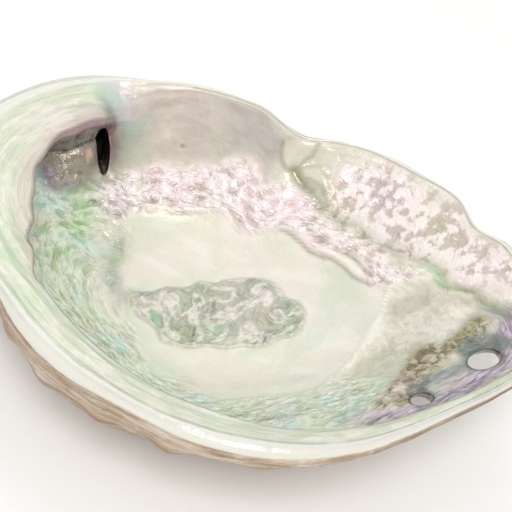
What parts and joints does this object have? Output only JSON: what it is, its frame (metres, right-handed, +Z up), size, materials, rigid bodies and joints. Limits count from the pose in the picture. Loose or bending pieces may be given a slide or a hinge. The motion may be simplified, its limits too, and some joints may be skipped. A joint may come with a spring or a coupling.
{
  "type": "abalone shell",
  "caption": "Ear-shaped sea shell lying on its back: a shallow pearly bowl with a broad inner ledge, open breathing holes and a low coiled spire.",
  "frame": {"origin": "on the surface the shell lies on, under the middle of its outline", "axes": "+X along the length to the wide front end, away from the spire; +Y across to the thin outer lip; +Z up, out of the open bowl"},
  "size_m": [0.1812, 0.1312, 0.0459],
  "materials": {
    "nacre": "glossy mother of pearl inside, matt tan shell outside"
  },
  "bodies": {
    "root": {"abalone_shell": "nacre"}
  },
  "joints": []
}
